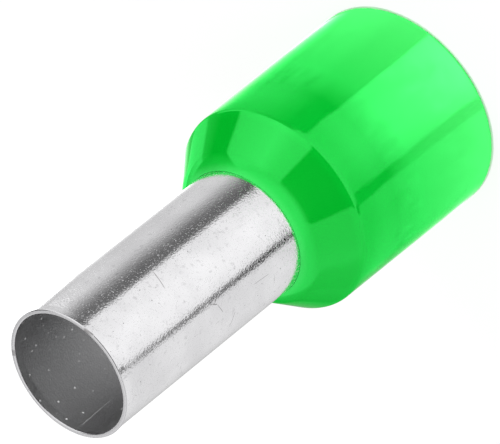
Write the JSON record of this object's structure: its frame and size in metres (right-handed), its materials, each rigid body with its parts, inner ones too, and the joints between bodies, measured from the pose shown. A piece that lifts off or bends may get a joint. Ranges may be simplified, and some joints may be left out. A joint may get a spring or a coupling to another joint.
{
  "type": "wire ferrule",
  "caption": "Insulated wire ferrule: a plated metal sleeve with an open end, pressed into a flared plastic collar with a conical shoulder that takes the wire.",
  "frame": {"origin": "centre of the collar's mouth, on the plane that the ferrule stands on", "axes": "+Z along the ferrule's axis, from the collar's mouth towards the tip of the bare sleeve; it is round about Z, so X and Y are free"},
  "size_m": [0.01, 0.01, 0.0235],
  "materials": {
    "tinned_copper": "satin",
    "green_plastic": "glossy"
  },
  "bodies": {
    "root": {"metal_sleeve": "tinned_copper", "plastic_collar": "green_plastic"}
  },
  "joints": []
}
